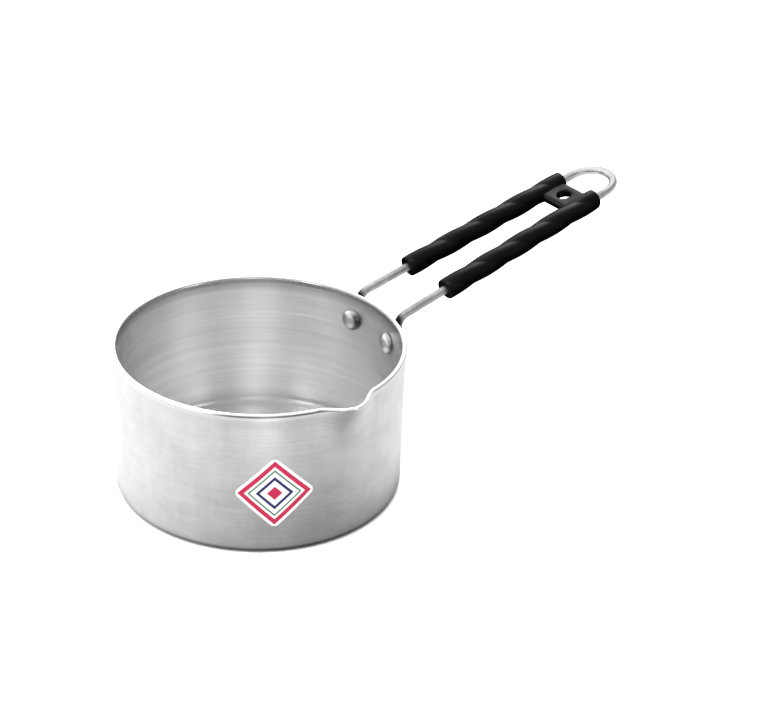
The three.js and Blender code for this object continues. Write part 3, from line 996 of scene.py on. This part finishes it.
STRIP_DISTANCE = 1.7
STRIP_HEIGHT = 0.95
STRIP_SIZE = (0.28, 1.4)
STRIP_POWERS = {-67.8: 6.6, -117.8: 3.6, -167.8: 7.2}
for number, (degrees, power) in enumerate(STRIP_POWERS.items()):
    bearing = math.radians(degrees)
    place = (STRIP_DISTANCE * math.cos(bearing), STRIP_DISTANCE * math.sin(bearing), STRIP_HEIGHT)
    strip = soft_box(f"strip_light_{number}", place, STRIP_SIZE, power)
    strip.visible_diffuse = False
    light_only(strip, [pan])

CARD_DROP = 0.0006
CARD_SPREAD = (0.085, 0.22)
DARK_SIDE = math.radians(-87.8)
DARK_WRAP = 0.9
NEAR_LEVEL = 1.30
NEAR_SHADE = 1.04
FAR_LEVEL = 1.12
FAR_SHADE = 0.36
UNDER_PAN = (0.076, 0.086)
UNDER_SHADE = 0.35
KICK_SIDE = math.radians(-15)
KICK_ARC = (0.2, 1.0)
KICK_NEAR = (0.080, 0.10)
KICK_FAR = (0.11, 0.19)
KICK_LEVEL = 0.30
PATCH_X, PATCH_Y = -0.100, -0.180
PATCH_RADIUS = 0.055
PATCH_LEVEL = 0.75
BACK_SIDE = math.radians(52.2)
BACK_ARC = (0.75, 0.97)
BACK_SHADE = 0.45


def glowing_card():
    """A glow that is dimmer on one side, at the back and under the pan, with a brighter kick and patch."""
    finish = Finish("floor_card", Base_Color=grey(0.0), Specular_IOR_Level=0.0, Emission_Strength=1.0)
    x, y = finish.place()[:2]
    reach = hypotenuse(x, y)
    dark = ((toward(DARK_SIDE, x, y) / reach + DARK_WRAP) / (1 + DARK_WRAP)).at_least(0.0)
    near = NEAR_LEVEL - NEAR_SHADE * dark
    far = FAR_LEVEL - FAR_SHADE * dark
    under = (1 - reach.between(*UNDER_PAN)) * (UNDER_SHADE + (1 - UNDER_SHADE) * dark)
    kick = (toward(KICK_SIDE, x, y) / reach).between(*KICK_ARC) * reach.within(KICK_NEAR, KICK_FAR)
    patch = 1 - hypotenuse(x - PATCH_X, y - PATCH_Y).between(0.0, PATCH_RADIUS)
    back = (toward(BACK_SIDE, x, y) / reach).between(*BACK_ARC)
    glow = mix(near, far, reach.between(*CARD_SPREAD)) * (1 - under)
    glow = glow + KICK_LEVEL * kick + PATCH_LEVEL * patch
    finish.feed(Emission_Color=glow * (1 - BACK_SHADE * back))
    return finish.material


card = add_piece("floor_card", flat_sheet(), [glowing_card()])
card.location.z = -CARD_DROP
card.visible_camera = False
card.visible_diffuse = False
card.visible_shadow = False
light_only(card, [pan, *rivets, wire, label])

ROOM_LEVEL = 0.95
ROOM_SHADE = 0.45
ROOM_ARC = (-0.6, 1.0)
ROOM_TOP = 0.30
FLAG_SIDE = math.radians(-35)
FLAG_RISE = math.radians(22)
FLAG_ARC = (0.50, 0.78)
FLAG_SHADE = 0.50
room = bpy.data.worlds.new("room")
room.use_nodes = True
bpy.context.scene.world = room
room_shade = Shade(room.node_tree)
east, north, up = room_shade.node("ShaderNodeTexCoord", output="Generated").parts()
seen = room_shade.node("ShaderNodeLightPath", output="Is Camera Ray")
dim = toward(DARK_SIDE, east, north).between(*ROOM_ARC)
flag = toward(FLAG_SIDE, east, north) * math.cos(FLAG_RISE) + up * math.sin(FLAG_RISE)
level = ROOM_LEVEL - ROOM_SHADE * dim + ROOM_TOP * up.at_least(0.0)
level = level * (1 - FLAG_SHADE * flag.between(*FLAG_ARC))
level = level * (1 - seen) + seen
background = room.node_tree.nodes["Background"]
room.node_tree.links.new(level.socket, background.inputs["Color"])
bpy.context.scene.view_settings.view_transform = "Standard"
